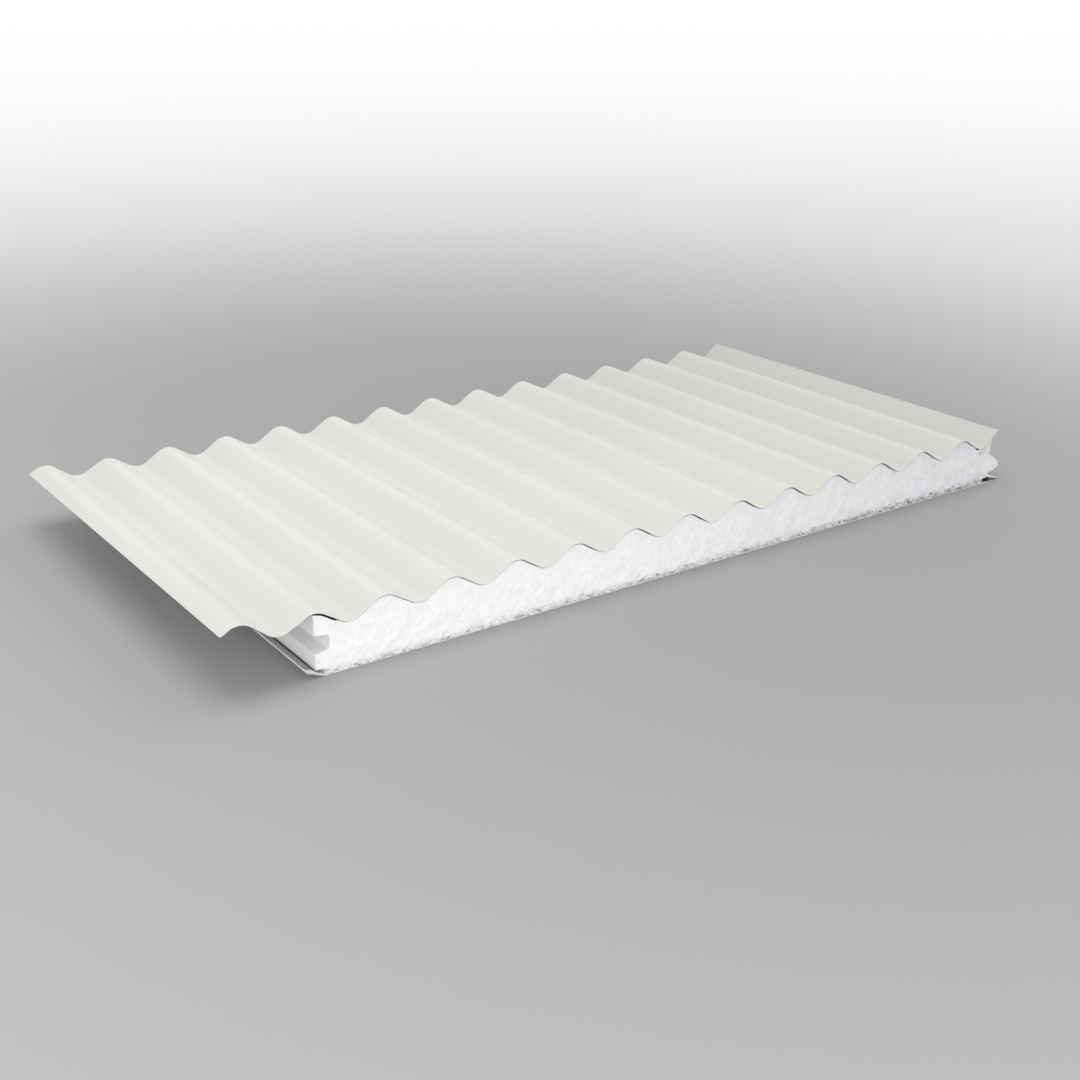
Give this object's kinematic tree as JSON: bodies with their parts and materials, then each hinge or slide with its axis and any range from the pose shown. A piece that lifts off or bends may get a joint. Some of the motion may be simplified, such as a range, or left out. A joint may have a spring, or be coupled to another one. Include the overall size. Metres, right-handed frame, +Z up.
{
  "type": "insulated sandwich panel",
  "caption": "Insulated roof panel: waved painted steel sheet over a white foam core, with a flat steel liner and side edges that lap, tongue and lock into the next panel.",
  "frame": {"origin": "centre of the panel's outline seen from above, on the plane of the liner's underside", "axes": "+X across the waves, from the free side lap to the lip and tongue side; +Y along the waves; +Z up, towards the weather side"},
  "size_m": [1.0992, 0.55, 0.077],
  "materials": {
    "weather_sheet": "satin off-white coil coating",
    "foam": "cut expanded polystyrene, beaded",
    "liner": "satin off-white coil coating"
  },
  "bodies": {
    "root": {"top_sheet": "weather_sheet", "foam_core": "foam", "bottom_sheet": "liner"}
  },
  "joints": []
}
